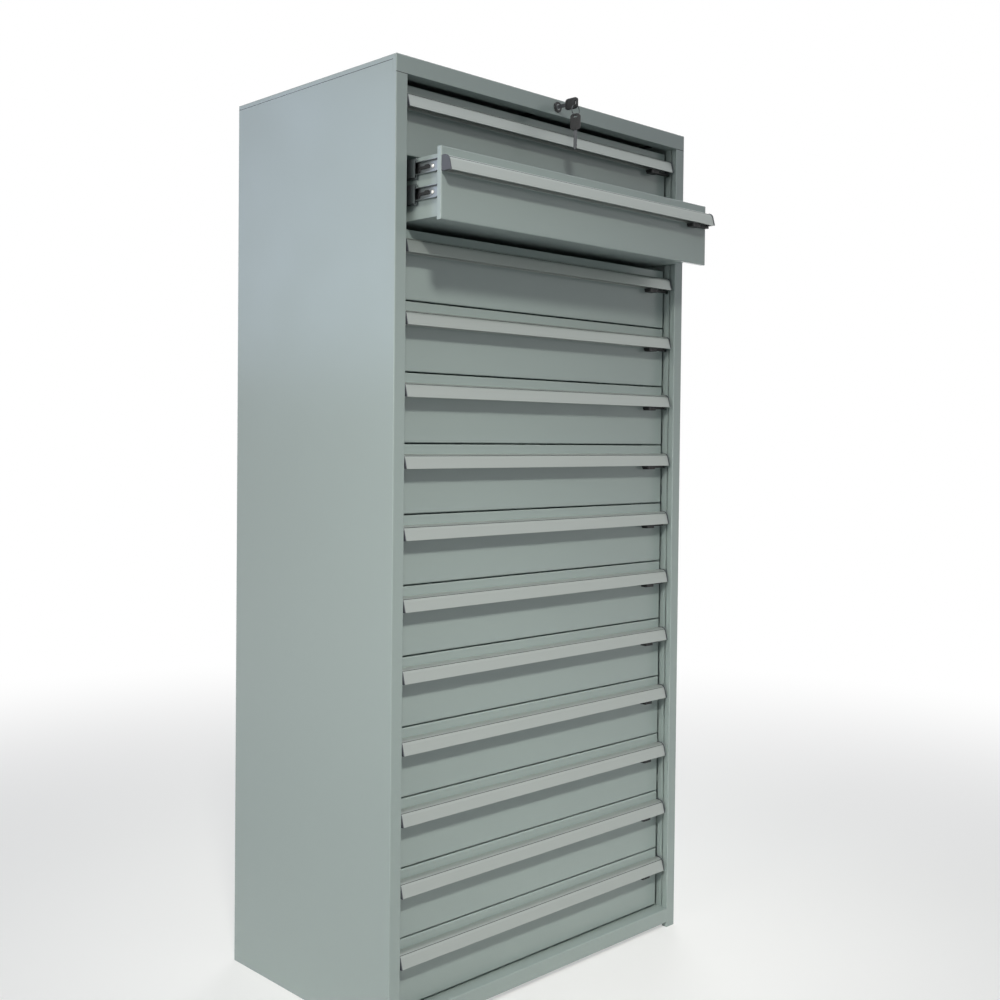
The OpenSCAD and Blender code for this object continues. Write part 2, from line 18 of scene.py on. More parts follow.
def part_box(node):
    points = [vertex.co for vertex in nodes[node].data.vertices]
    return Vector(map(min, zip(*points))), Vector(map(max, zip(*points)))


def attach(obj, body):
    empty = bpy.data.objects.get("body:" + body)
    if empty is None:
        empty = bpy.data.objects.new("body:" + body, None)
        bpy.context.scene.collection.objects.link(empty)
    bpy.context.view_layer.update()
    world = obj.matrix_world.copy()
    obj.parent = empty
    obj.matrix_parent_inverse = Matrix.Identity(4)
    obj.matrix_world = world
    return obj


MM = 0.001
DRAWER_COUNT = 13
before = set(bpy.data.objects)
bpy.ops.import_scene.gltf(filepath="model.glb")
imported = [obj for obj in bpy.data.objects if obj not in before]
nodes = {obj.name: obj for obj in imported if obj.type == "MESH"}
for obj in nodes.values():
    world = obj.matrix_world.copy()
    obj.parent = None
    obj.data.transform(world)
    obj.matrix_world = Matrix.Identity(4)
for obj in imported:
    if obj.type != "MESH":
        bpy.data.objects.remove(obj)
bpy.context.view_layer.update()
scene = bpy.context.scene
drawers = [f"{k:02d}" for k in range(1, DRAWER_COUNT + 1)]

# %% [markdown]
# ## Camera
#
# The photo was taken from about three metres away, in front of the left corner and at chest height. A
# camera that aims at a target would be simpler, but it can't lean. So the place, the three angles and the
# focal length were fitted to the edges of the cabinet in the photo, and the render can be laid over it.

# %% Camera
CAMERA_PLACE = Vector((-2.0261, -2.1936, 1.2344))
YAW, PITCH, ROLL = (math.radians(angle) for angle in (44.254, -1.229, 0.590))
FOCAL_MM = 44.14
SENSOR_MM = 36.0
VIEW_SHIFT = -0.0351


def in_scene(name, data):
    """A new object in the scene, at the origin."""
    thing = bpy.data.objects.new(name, data)
    scene.collection.objects.link(thing)
    return thing


forward = Vector((math.sin(YAW) * math.cos(PITCH), math.cos(YAW) * math.cos(PITCH), math.sin(PITCH)))
level = Vector((math.cos(YAW), -math.sin(YAW), 0.0))
upward = level.cross(forward)
right = math.cos(ROLL) * level + math.sin(ROLL) * upward
top = math.cos(ROLL) * upward - math.sin(ROLL) * level
camera_data = bpy.data.cameras.new("photo_camera")
camera_data.sensor_width = SENSOR_MM
camera_data.lens = FOCAL_MM
camera_data.shift_y = VIEW_SHIFT
camera_data.dof.use_dof = False
camera = in_scene("photo_camera", camera_data)
camera.matrix_world = Matrix.LocRotScale(CAMERA_PLACE, Matrix((right, top, -forward)).transposed(), None)
scene.camera = camera
print("camera at", [round(v, 3) for v in CAMERA_PLACE])

# %% [markdown]
# ## Helpers for materials
#
# A finish is a small node tree. One function adds a node with its settings and links, and one turns a
# colour as it looks on a screen into the linear numbers that the shader works with. The relief of a coat
# or a brushed metal could be modelled, but it is far too fine for that, so a noise tilts the shading
# instead.

# %% Colours and nodes
def linear(hex_colour):
    """Colour written as #RRGGBB, as linear red, green, blue and alpha."""
    channels = [int(hex_colour[i:i + 2], 16) / 255 for i in (1, 3, 5)]
    return tuple(c / 12.92 if c <= 0.04045 else ((c + 0.055) / 1.055) ** 2.4 for c in channels) + (1.0,)


def socket(sockets, name):
    """The socket in use of that name, or of that number where sockets share a name."""
    if isinstance(name, int):
        return sockets[name]
    return next(s for s in sockets if s.name == name and s.enabled)


def add_node(tree, kind, inputs=None, links=None, **settings):
    """Add a node, set its properties and inputs, and link other nodes' outputs to it."""
    node = tree.nodes.new(kind)
    for name, value in settings.items():
        setattr(node, name, value)
    for name, value in (inputs or {}).items():
        socket(node.inputs, name).default_value = value
    for name, source in (links or {}).items():
        tree.links.new(source, socket(node.inputs, name))
    return node


print("half grey on a screen is", round(linear("#808080")[0], 3), "in linear light")

# %% Shader, grain and changing gloss
GRAIN_DETAIL = 1.5
NOISE_LOW, NOISE_HIGH = 0.3, 0.7


def new_material(name, colour, roughness, metallic=0.0):
    """A material with one principled shader; returns it with its tree, shader and object coordinates."""
    material = bpy.data.materials.new(name)
    material.use_nodes = True
    material.diffuse_color = linear(colour)
    material.roughness = roughness
    material.metallic = metallic
    tree = material.node_tree
    shader = tree.nodes["Principled BSDF"]
    for key, value in (("Base Color", linear(colour)), ("Roughness", roughness), ("Metallic", metallic)):
        shader.inputs[key].default_value = value
    place = add_node(tree, "ShaderNodeTexCoord").outputs["Object"]
    return material, tree, shader, place


def add_grain(tree, shader, place, size, depth, stretch=(1, 1, 1)):
    """Fine relief: noise with grains of one size, stretched along the axes, as a bump on the shader."""
    scaled = add_node(tree, "ShaderNodeMapping", inputs={"Scale": tuple(1 / (size * s) for s in stretch)},
                      links={"Vector": place})
    noise = add_node(tree, "ShaderNodeTexNoise", inputs={"Scale": 1.0, "Detail": GRAIN_DETAIL},
                     links={"Vector": scaled.outputs["Vector"]})
    bump = add_node(tree, "ShaderNodeBump", inputs={"Strength": 1.0, "Distance": depth},
                    links={"Height": noise.outputs[0]})
    tree.links.new(bump.outputs["Normal"], shader.inputs["Normal"])
    return noise.outputs[0]


def vary(tree, shader, name, source, low, high):
    """Let a noise move one shader input between two values."""
    spread = add_node(tree, "ShaderNodeMapRange", links={"Value": source},
                      inputs={"From Min": NOISE_LOW, "From Max": NOISE_HIGH, "To Min": low, "To Max": high})
    tree.links.new(spread.outputs["Result"], shader.inputs[name])


print("a noise between", NOISE_LOW, "and", NOISE_HIGH, "covers the whole range of a gloss")

# %% [markdown]
# ## Powder coat
#
# The body and the drawers are coated with plastic dust that melts in an oven. It flows into a semi-gloss
# skin with a faint orange peel, about two millimetres from bump to bump, and its gloss changes a little
# over a hand's width. A picture of paint could be laid on, but a noise that is sized in millimetres on
# object coordinates has no seams and stays put when a drawer moves. The seams below the top cover are
# hairlines in the solids, so the paint of the side panels is darkened along them: a painted shade that
# stands in for the shadow in such a joint.

# %% Powder coat
COVER_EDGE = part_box("side_panels")[1].z
FASCIA_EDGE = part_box("top_cover")[0].z
POST_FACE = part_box("side_panels")[0].y
# Painted shade: a dark band this wide along the seams below the top cover and its fascia.
JOINT_SHADOW, JOINT_SHADE_COLOUR = 1.5 * MM, "#2A2D2D"
PEEL_SIZE, PEEL_DEPTH = 1.9 * MM, 0.006 * MM
CLOUD_SIZE, CLOUD_DETAIL = 1000 * MM / 6, 2.0
PAINT, PAINT_ROUGH, PAINT_SWING = "#9DA9A7", 0.24, 0.03


def in_painted_joint_shade(tree, place):
    """One where the painted shade goes, just below the edges of the top cover and its fascia, else nought.
    """
    axes = add_node(tree, "ShaderNodeSeparateXYZ", links={"Vector": place}).outputs
    near_fascia = add_node(tree, "ShaderNodeMath", operation="GREATER_THAN", links={0: axes["Z"]},
                           inputs={1: FASCIA_EDGE - JOINT_SHADOW})
    on_post = add_node(tree, "ShaderNodeMath", operation="LESS_THAN", links={0: axes["Y"]},
                       inputs={1: POST_FACE + JOINT_SHADOW})
    below_fascia = add_node(tree, "ShaderNodeMath", operation="MULTIPLY",
                            links={0: near_fascia.outputs[0], 1: on_post.outputs[0]})
    below_cover = add_node(tree, "ShaderNodeMath", operation="GREATER_THAN", links={0: axes["Z"]},
                           inputs={1: COVER_EDGE - JOINT_SHADOW})
    either = add_node(tree, "ShaderNodeMath", operation="MAXIMUM",
                      links={0: below_fascia.outputs[0], 1: below_cover.outputs[0]})
    return either.outputs[0]


def powder_coat(name, joints=False):
    """Grey paint; if asked, it is darkened just below the edges of the top cover, as painted shade."""
    material, tree, shader, place = new_material(name, PAINT, PAINT_ROUGH)
    add_grain(tree, shader, place, size=PEEL_SIZE, depth=PEEL_DEPTH)
    cloud = add_node(tree, "ShaderNodeTexNoise", links={"Vector": place},
                     inputs={"Scale": 1 / CLOUD_SIZE, "Detail": CLOUD_DETAIL})
    vary(tree, shader, "Roughness", cloud.outputs[0], PAINT_ROUGH - PAINT_SWING, PAINT_ROUGH + PAINT_SWING)
    if joints:
        joint_shaded_colour = add_node(tree, "ShaderNodeMix", data_type="RGBA", links={"Factor": in_painted_joint_shade(tree, place)},
                         inputs={"A": linear(PAINT), "B": linear(JOINT_SHADE_COLOUR)})
        tree.links.new(socket(joint_shaded_colour.outputs, "Result"), shader.inputs["Base Color"])
    return material


# Light grey powder coat: an even, slightly green grey with broad, soft reflections.
grey_coat = powder_coat("light_grey_powder_coat")
# The same coat on the side panels, with painted shade in dark lines below the top cover and its fascia.
shaded_body_coat = powder_coat("light_grey_powder_coat_with_painted_joint_shade", joints=True)
print("paint:", grey_coat.name, "and", shaded_body_coat.name)

# %% [markdown]
# ## Metals
#
# The grips are pressed through a die and anodised, so fine streaks run along them. The slides are rolled
# from strip steel and zinc-plated, the screws are nickel-plated, and the key blades and the ring are bare
# spring steel. Scratches could be drawn one by one, but a noise with its grains stretched along the
# streaks serves all four: it gives a faint relief and moves the roughness.

# %% Metals
STREAK_SWING = 0.05


def brushed_metal(name, colour, roughness, size, depth, stretch=(1, 1, 1), metallic=1.0):
    """Metal whose gloss changes in grains of one size, stretched along the axes."""
    material, tree, shader, place = new_material(name, colour, roughness, metallic=metallic)
    streaks = add_grain(tree, shader, place, size=size, depth=depth, stretch=stretch)
    vary(tree, shader, "Roughness", streaks, roughness - STREAK_SWING, roughness + STREAK_SWING)
    return material


# Anodised aluminium: a pale satin band with streaks along the grip. Its oxide skin scatters light, so it is
# only partly metallic and stays pale where it faces something dark.
aluminium = brushed_metal("anodised_aluminium", "#A9AFAC", 0.46, size=0.25 * MM, depth=0.002 * MM,
                          stretch=(400, 1, 1), metallic=0.6)
# Bright zinc plate: a cool grey with a soft shine along the slides.
zinc = brushed_metal("bright_zinc_plate", "#8A8E90", 0.34, size=0.8 * MM, depth=0.004 * MM,
                     stretch=(1, 30, 1))
# Nickel plate: pale and glossy, with a small highlight on each screw head.
nickel = brushed_metal("nickel_plated_steel", "#DEDCD6", 0.28, size=0.3 * MM, depth=0.002 * MM,
                       stretch=(1, 12, 12))
# Spring steel: dark and dull, with no white flash on the flat blades.
spring_steel = brushed_metal("spring_steel", "#5A5C5F", 0.48, size=0.3 * MM, depth=0.002 * MM)
print("metals:", [metal.name for metal in (aluminium, zinc, nickel, spring_steel)])

# %% [markdown]
# ## Plastics
#
# The latches, the release levers, the key heads and the caps of the grips are moulded ABS, and the lock
# barrel has a black skin that looks the same. The mould leaves a fine, even grain, which spreads the
# highlights. It is made like the orange peel of the paint, only finer and deeper.

# %% Plastics
MOULD_GRAIN, MOULD_DEPTH = 0.35 * MM, 0.012 * MM


def moulded_plastic(name, colour, roughness):
    """Plastic with the fine grain of its mould."""
    material, tree, shader, place = new_material(name, colour, roughness)
    add_grain(tree, shader, place, size=MOULD_GRAIN, depth=MOULD_DEPTH)
    return material


# Black ABS: nearly black, with a soft grey highlight.
black_plastic = moulded_plastic("black_moulded_plastic", "#151618", 0.5)
# Painted shade for a grip's groove: its faces are dull and dark, so that the groove reads as a thin line.
groove_shade = moulded_plastic("painted_groove_shade", "#3A3E3E", 0.6)
# Dark grey ABS: the caps stand out from the pale grips.
dark_plastic = moulded_plastic("dark_grey_moulded_plastic", "#4B4D54", 0.48)
print("plastics:", [plastic.name for plastic in (black_plastic, groove_shade, dark_plastic)])

# %% [markdown]
# ## Finishes on the CAD nodes
#
# A tray is one CAD node with its slide members, a grip with its end caps, and the top cover with the lock
# barrel. They could be cut into new pieces, but the CAD meshes stay as they are. So the faces are told
# apart by where they lie, and each face gets the finish of its own material.

# %% Faces of a node
X, Y, Z = range(3)


def face_corners(node):
    """Corner points of every triangle of a node, as an array of triangles by corner by axis."""
    mesh = nodes[node].data
    points = np.zeros(len(mesh.vertices) * 3)
    mesh.vertices.foreach_get("co", points)
    index = np.zeros(len(mesh.loops), dtype=int)
    mesh.loops.foreach_get("vertex_index", index)
    return points.reshape(-1, 3)[index].reshape(-1, 3, 3)


def dress(node, base, *others):
    """Give a node its finish, and other finishes to chosen faces, each as a finish and a choice."""
    mesh = nodes[node].data
    mesh.materials.clear()
    mesh.materials.append(base)
    pick = np.zeros(len(mesh.polygons), dtype=np.int32)
    for number, (finish, chosen) in enumerate(others, start=1):
        mesh.materials.append(finish)
        pick[chosen] = number
    mesh.polygons.foreach_set("material_index", pick)


print("faces to dress:", sum(len(nodes[node].data.polygons) for node in nodes))

# %% Dress the body, the lock and the key
NUT_REACH = 13.7 * MM
BARREL_LENGTH = 30.0 * MM
HEAD_REACH = 37.2 * MM
key_low, key_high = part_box("key")
LOCK_Z = (key_low.z + key_high.z) / 2
barrel_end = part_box("lock_plug")[0].y + BARREL_LENGTH

# The side panels get the coat with the painted shade below the top cover.
dress("side_panels", shaded_body_coat)
for node in ("back_panel", "base_frame"):
    dress(node, grey_coat)
for node in ("slide_outer_rails", "lock_plug", "lock_bar"):
    dress(node, zinc)

corners = face_corners("top_cover")
off_axis = np.hypot(corners[:, :, X], corners[:, :, Z] - LOCK_Z).max(axis=1)
in_barrel = (off_axis < NUT_REACH) & (corners[:, :, Y].max(axis=1) < barrel_end)
dress("top_cover", grey_coat, (black_plastic, in_barrel))

on_blade = face_corners("key")[:, :, Y].max(axis=1) > key_low.y + HEAD_REACH
dress("key", black_plastic, (spring_steel, on_blade))
print("lock barrel:", int(in_barrel.sum()), "faces; key blade:", int(on_blade.sum()), "faces")

# %% [markdown]
# Each grip has a fine groove along its rounded shoulder, painted dark as shade. The groove's faces lie at
# one distance and one angle from the middle of that round, so they are found in polar coordinates.

# %% Dress the drawers
TRAY_SIDE = 419.1 * MM
FRONT_FOLD = 16.0 * MM
CAP_START = 428.45 * MM
SHOULDER_OUT, SHOULDER_UP, SHOULDER_R = 9.486 * MM, 17.0 * MM, 13.0 * MM
GROOVE_MIDDLE, GROOVE_REACH, GROOVE_SKIN = 12.65 * MM, 0.45 * MM, 0.1 * MM
GROOVE_TURN, GROOVE_SPAN = math.radians(44), math.radians(6)


def along_shoulder(corners):
    """Which faces of a grip lie in the groove along its shoulder."""
    out = corners[:, :, Y].max() - corners[:, :, Y] - SHOULDER_OUT
    up = corners[:, :, Z] - corners[:, :, Z].min() - SHOULDER_UP
    off_shoulder, turn = np.hypot(out, up), np.arctan2(up, out)
    return ((np.abs(off_shoulder - GROOVE_MIDDLE) < GROOVE_REACH).all(axis=1)
            & (off_shoulder.min(axis=1) < SHOULDER_R - GROOVE_SKIN)
            & (np.abs(turn - GROOVE_TURN) < GROOVE_SPAN).all(axis=1))


for k in drawers:
    tray, handle = f"drawer_{k}_tray", f"drawer_{k}_handle"
    corners = face_corners(tray)
    behind_front = corners[:, :, Y].min(axis=1) > corners[:, :, Y].min() + FRONT_FOLD
    on_slide = (np.abs(corners[:, :, X]).min(axis=1) > TRAY_SIDE) & behind_front
    dress(tray, grey_coat, (zinc, on_slide))
    corners = face_corners(handle)
    on_cap = np.abs(corners[:, :, X]).min(axis=1) > CAP_START
    in_groove = along_shoulder(corners) & ~on_cap
    dress(handle, aluminium, (dark_plastic, on_cap), (groove_shade, in_groove))
    dress(f"drawer_{k}_latch", black_plastic)
    dress(f"drawer_{k}_slides_mid", zinc)
print("dressed", len(nodes), "nodes;", int(in_groove.sum()), "faces in each grip's groove")

# %% [markdown]
# ## Slide screws
#
# Each inner slide member is held to its tray by pan-head screws, which show when a drawer is open. A
# screw is turned on a lathe, so its outline is revolved here too. The cross could be a dark mark in the
# material, but it is cut into the head, because a cut catches the light.

# %% Tools for small pieces
MERGE = 0.001 * MM


def from_shape(name, shape):
    """A piece made from a finished bmesh, with its place in its mesh."""
    mesh = bpy.data.meshes.new(name)
    shape.to_mesh(mesh)
    shape.free()
    return in_scene(name, mesh)


def block(name, low, high):
    """A box between two corners."""
    shape = bmesh.new()
    bmesh.ops.create_cube(shape, size=1.0)
    size, middle = Vector(high) - Vector(low), (Vector(high) + Vector(low)) / 2
    for vert in shape.verts:
        vert.co = middle + Vector(c * s for c, s in zip(vert.co, size))
    return from_shape(name, shape)


def evaluated_mesh(thing):
    """A plain mesh of an object with its modifiers worked in, or of a curve with its tube."""
    graph = bpy.context.evaluated_depsgraph_get()
    return bpy.data.meshes.new_from_object(thing.evaluated_get(graph))


def work_in(piece):
    """Work a piece's modifiers into its mesh and remove them."""
    mesh = evaluated_mesh(piece)
    piece.modifiers.clear()
    piece.data = mesh


def cut(piece, *tools):
    """Cut the tools out of a piece."""
    for tool in tools:
        step = piece.modifiers.new("cut", "BOOLEAN")
        step.operation = "DIFFERENCE"
        step.solver = "EXACT"
        step.object = tool
    work_in(piece)
    for tool in tools:
        bpy.data.objects.remove(tool)


print("corners closer than", MERGE / MM, "mm are merged")

# %% Screw
HEAD_R, HEAD_H = 4.8 * MM, 2.3 * MM
HEAD_OUTLINE = [(0, 0), (1, 0), (1, 0.25), (0.92, 0.6), (0.70, 0.87), (0.38, 0.98), (0, 1)]
TURN_STEPS = 32
SHARP_EDGE = math.radians(40)
ARM, ARM_HALF, CROSS_FLOOR = 2.1 * MM, 0.42 * MM, 0.9 * MM


def revolved(name, outline):
    """Solid turned about Z from (radius, height) points that start and end on the axis."""
    shape = bmesh.new()
    loop = [shape.verts.new((radius, 0.0, height)) for radius, height in outline]
    edges = [shape.edges.new(pair) for pair in zip(loop, loop[1:])]
    bmesh.ops.spin(shape, geom=loop + edges, axis=(0, 0, 1), cent=(0, 0, 0), angle=2 * math.pi,
                   steps=TURN_STEPS, use_merge=True)
    bmesh.ops.remove_doubles(shape, verts=shape.verts, dist=MERGE)
    bmesh.ops.recalc_face_normals(shape, faces=shape.faces)
    for face in shape.faces:
        face.smooth = True
    piece = from_shape(name, shape)
    piece.data.set_sharp_from_angle(angle=SHARP_EDGE)
    return piece


screw = revolved("screw", [(across * HEAD_R, up * HEAD_H) for across, up in HEAD_OUTLINE])
cut(screw,
    block("slot_a", (-ARM, -ARM_HALF, CROSS_FLOOR), (ARM, ARM_HALF, 2 * HEAD_H)),
    block("slot_b", (-ARM_HALF, -ARM, CROSS_FLOOR), (ARM_HALF, ARM, 2 * HEAD_H)))
print("screw with", len(screw.data.polygons), "faces")

# %% [markdown]
# ## Release levers
#
# Each inner slide member also carries a plastic lever that frees the drawer, so that it can be taken out.
# It is a flat moulding with a finger pad and a hook. A block could be carved to that shape, but an
# outline that is raised and rounded at its edges needs only ten points.

# %% Release lever
LEVER_OUTLINE = [(-3.0, -17.0), (3.0, -17.0), (5.5, -14.0), (5.5, -5.0), (3.0, -2.0), (3.0, 12.0),
                 (0.5, 15.5), (-8.5, 17.0), (-9.5, 13.5), (-3.0, 10.0)]
LEVER_T, LEVER_EDGE_R = 1.8 * MM, 0.35 * MM
EDGE_STEPS, ROUND = 2, 0.5


def raised_outline(name, outline, thick, edge_r):
    """Flat piece: an outline in the XY plane raised along Z, with rounded edges."""
    shape = bmesh.new()
    base = shape.faces.new([shape.verts.new((x, y, 0.0)) for x, y in outline])
    raised = bmesh.ops.extrude_face_region(shape, geom=[base])["geom"]
    upper = [part for part in raised if isinstance(part, bmesh.types.BMVert)]
    bmesh.ops.translate(shape, verts=upper, vec=(0, 0, thick))
    bmesh.ops.recalc_face_normals(shape, faces=shape.faces)
    bmesh.ops.bevel(shape, geom=list(shape.edges), offset=edge_r, segments=EDGE_STEPS, profile=ROUND,
                    affect="EDGES")
    return from_shape(name, shape)


lever = raised_outline("lever", [(x * MM, y * MM) for x, y in LEVER_OUTLINE], LEVER_T, LEVER_EDGE_R)
print("lever with", len(lever.data.polygons), "faces")

# %% [markdown]
# ## Screws and levers on the slides
#
# Each drawer has twelve screws and four levers. They could be copied one by one, but Geometry Nodes set a
# piece on every point of a small mesh and turn it to face outwards. The tree takes the points, the piece
# and its finish as named inputs, the greatest random turn, and a seed for the turns. The screws get a
# random turn so that the crosses don't line up. One slide fits either side of a drawer, so the levers'
# hooks point down on the left and up on the right.

# %% Geometry Nodes that set the small pieces
def small_piece_tree():
    """The tree that sets a piece on each point, facing the way that the point's attribute says."""
    tree = bpy.data.node_groups.new("set_small_pieces", "GeometryNodeTree")
    for name, kind in (("Points", "Geometry"), ("Piece", "Object"), ("Finish", "Material"),
                       ("Most Turn", "Float"), ("Seed", "Int")):
        tree.interface.new_socket(name, in_out="INPUT", socket_type=f"NodeSocket{kind}")
    tree.interface.new_socket("Pieces", in_out="OUTPUT", socket_type="NodeSocketGeometry")
    given = add_node(tree, "NodeGroupInput").outputs
    facing = add_node(tree, "GeometryNodeInputNamedAttribute", data_type="FLOAT_VECTOR",
                      inputs={"Name": "facing"})
    aim = add_node(tree, "FunctionNodeAlignRotationToVector", axis="Z",
                   links={"Vector": socket(facing.outputs, "Attribute")})
    turn = add_node(tree, "FunctionNodeRandomValue", data_type="FLOAT", inputs={"Min": 0.0},
                    links={"Max": given["Most Turn"], "Seed": given["Seed"]})
    spin = add_node(tree, "FunctionNodeAxisAngleToRotation", inputs={"Axis": (0, 0, 1)},
                    links={"Angle": socket(turn.outputs, "Value")})
    both = add_node(tree, "FunctionNodeRotateRotation", rotation_space="LOCAL",
                    links={"Rotation": aim.outputs["Rotation"], "Rotate By": spin.outputs["Rotation"]})
    shape = add_node(tree, "GeometryNodeObjectInfo", links={"Object": given["Piece"]})
    copies = add_node(tree, "GeometryNodeInstanceOnPoints",
                      links={"Points": given["Points"], "Instance": shape.outputs["Geometry"],
                             "Rotation": both.outputs["Rotation"]})
    solid = add_node(tree, "GeometryNodeRealizeInstances", links={"Geometry": copies.outputs["Instances"]})
    coated = add_node(tree, "GeometryNodeSetMaterial",
                      links={"Geometry": solid.outputs["Geometry"], "Material": given["Finish"]})
    add_node(tree, "NodeGroupOutput", links={"Pieces": coated.outputs["Geometry"]})
    return tree


SMALL_PIECES = small_piece_tree()
SOCKETS = {s.name: s.identifier for s in SMALL_PIECES.interface.items_tree if s.in_out == "INPUT"}
print("tree with", len(SMALL_PIECES.nodes), "nodes and the inputs", list(SOCKETS))

# %% Set the screws and levers
WEB_FACE = 420.4 * MM
SLIDE_START = 18.0 * MM
SLIDE_LEVELS = (59.0 * MM, 110.5 * MM)
SCREW_PLACES = (20.0 * MM, 246.0 * MM, 438.0 * MM)
LEVER_PLACES = (46.0 * MM,)


def on_slides(low, places):
    """Points on the webs of a drawer's four inner slide members, and the directions they face."""
    points = [(side * WEB_FACE, low.y + SLIDE_START + along, low.z + up)
              for side in (-1, 1) for up in SLIDE_LEVELS for along in places]
    return points, [(math.copysign(1, point[X]), 0, 0) for point in points]


def set_pieces(name, points, directions, shape, finish, body, slot, seed, most_turn=0.0):
    """One mesh with a small piece on every point, facing its direction, riding on a body."""
    mesh = bpy.data.meshes.new(name)
    mesh.from_pydata([tuple(p) for p in points], [], [])
    facing = mesh.attributes.new("facing", "FLOAT_VECTOR", "POINT")
    facing.data.foreach_set("vector", np.array(directions, dtype=np.float32).ravel())
    piece = in_scene(name, mesh)
    setter = piece.modifiers.new("set_small_pieces", "NODES")
    setter.node_group = SMALL_PIECES
    for key, value in (("Piece", shape), ("Finish", finish), ("Most Turn", most_turn), ("Seed", seed)):
        setter[SOCKETS[key]] = value
    work_in(piece)
    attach(piece, body)
    return piece


for number, k in enumerate(drawers, start=1):
    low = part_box(f"drawer_{k}_tray")[0]
    screws = set_pieces(f"drawer_{k}_slide_screws", *on_slides(low, SCREW_PLACES), screw, nickel,
                        f"drawer_{k}", "zinc_plated_steel", seed=number, most_turn=math.pi)
    levers = set_pieces(f"drawer_{k}_slide_levers", *on_slides(low, LEVER_PLACES), lever, black_plastic,
                        f"drawer_{k}", "black_plastic", seed=number)
for prototype in (screw, lever):
    bpy.data.objects.remove(prototype)
print("on each drawer:", len(screws.data.polygons), "screw faces,", len(levers.data.polygons), "lever faces")

# %% [markdown]
# ## Liners behind the posts
#
# The sides of the drawer opening run further back than the returns of the posts. A strip of folded sheet
# stands behind each return, between the bottom plate and the top cover, and reaches past the drawer
# fronts, so that one doesn't look into the hollow post. A narrow gap to the return shows as a dark line.
# The strip could be two boxes, but it is folded from one sheet, so its section is drawn once and pulled
# up to the full height. The right one has a slot for each latch bolt, punched with a little room around
# the bolt.

# %% Folded strips
POST_W, SHEET_T = 30.0 * MM, 1.2 * MM
LINER_START, LINER_END, LINER_FLANGE = 17.6 * MM, 35.0 * MM, 8.0 * MM
LINER_EDGE_R, LINER_ROOM = 0.25 * MM, 0.1 * MM
liner_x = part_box("side_panels")[1].x - POST_W
liner_low, liner_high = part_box("base_frame")[1].z + LINER_ROOM, FASCIA_EDGE - LINER_ROOM


def post_liner(name, side):
    """Strip of sheet behind a post's return, with a flange turned outwards at its back edge."""
    front, back = POST_FACE + LINER_START, POST_FACE + LINER_END
    section = [(0.0, front), (SHEET_T, front), (SHEET_T, back - SHEET_T), (LINER_FLANGE, back - SHEET_T),
               (LINER_FLANGE, back), (0.0, back)]
    strip = raised_outline(name, [(side * (liner_x + across), along) for across, along in section],
                           liner_high - liner_low, LINER_EDGE_R)
    strip.data.transform(Matrix.Translation((0, 0, liner_low)))
    return strip


liners = [post_liner("post_liner_left", -1), post_liner("post_liner_right", 1)]
print("liners from", round(liner_low, 4), "to", round(liner_high, 4), "m")

# %% Slots for the latch bolts
BOLT_TIP = 1.0 * MM
SLOT_ROOM = 1.2 * MM


def bolt_end(k):
    """Lowest and highest corner of the end of a drawer's latch bolt."""
    points = face_corners(f"drawer_{k}_latch").reshape(-1, 3)
    tip = points[points[:, X] > points[:, X].max() - BOLT_TIP]
    return tip.min(axis=0), tip.max(axis=0)


def bolt_slots():
    """A box for each latch bolt, as deep as the closed drawers' bolts and a little larger."""
    closed_low, closed_high = bolt_end(drawers[0])
    for k in drawers:
        low, high = bolt_end(k)
        yield block("bolt_slot",
                    (liner_x - SHEET_T, closed_low[Y] - SLOT_ROOM, low[Z] - SLOT_ROOM),
                    (liner_x + 2 * SHEET_T, closed_high[Y] + SLOT_ROOM, high[Z] + SLOT_ROOM))


cut(liners[1], *bolt_slots())
for liner in liners:
    liner.data.materials.clear()
    liner.data.materials.append(grey_coat)
    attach(liner, "cabinet")
print("liners:", [len(liner.data.polygons) for liner in liners], "faces")

# %% [markdown]
# ## Ring and spare key
#
# The key in the lock carries a split ring with a spare key on it, which hangs in front of the top drawer.
# The ring is a coil of spring wire with two turns side by side, and it rests on the lower end of the slot
# in the key's head. A torus would lack the split, so a tube is swept along the coil. The spare is the
# same key, so its mesh is the CAD key turned to point down.

# %% Split ring
SLOT_IN, SLOT_ACROSS = 6.5 * MM, 5.5 * MM
RING_R, WIRE_R, WIRE_STEPS = 12.0 * MM, 0.55 * MM, 3
RING_TURNS, POINTS_PER_TURN = 2, 48
key_slot = Vector((0.0, key_low.y + SLOT_IN, LOCK_Z))
ring_middle = key_slot - Vector((0, 0, SLOT_ACROSS - WIRE_R + RING_R))


def split_ring(name):
    """Two turns of wire side by side, as one swept tube."""
    path = bpy.data.curves.new(name, "CURVE")
    path.dimensions = "3D"
    path.bevel_depth = WIRE_R
    path.bevel_resolution = WIRE_STEPS
    path.use_fill_caps = True
    count = POINTS_PER_TURN * RING_TURNS + 1
    line = path.splines.new("POLY")
    line.points.add(count - 1)
    for i, point in enumerate(line.points):
        turn = i / (count - 1) * RING_TURNS
        angle = 2 * math.pi * turn
        across = (turn - RING_TURNS / 2) * 2 * WIRE_R
        place = ring_middle + Vector((RING_R * math.sin(angle), across, RING_R * math.cos(angle)))
        point.co = (*place, 1.0)
    coil = in_scene(name + "_path", path)
    mesh = evaluated_mesh(coil)
    bpy.data.objects.remove(coil)
    for face in mesh.polygons:
        face.use_smooth = True
    mesh.materials.clear()
    mesh.materials.append(spring_steel)
    return in_scene(name, mesh)


ring = split_ring("key_ring")
print("ring with", len(ring.data.polygons), "faces")

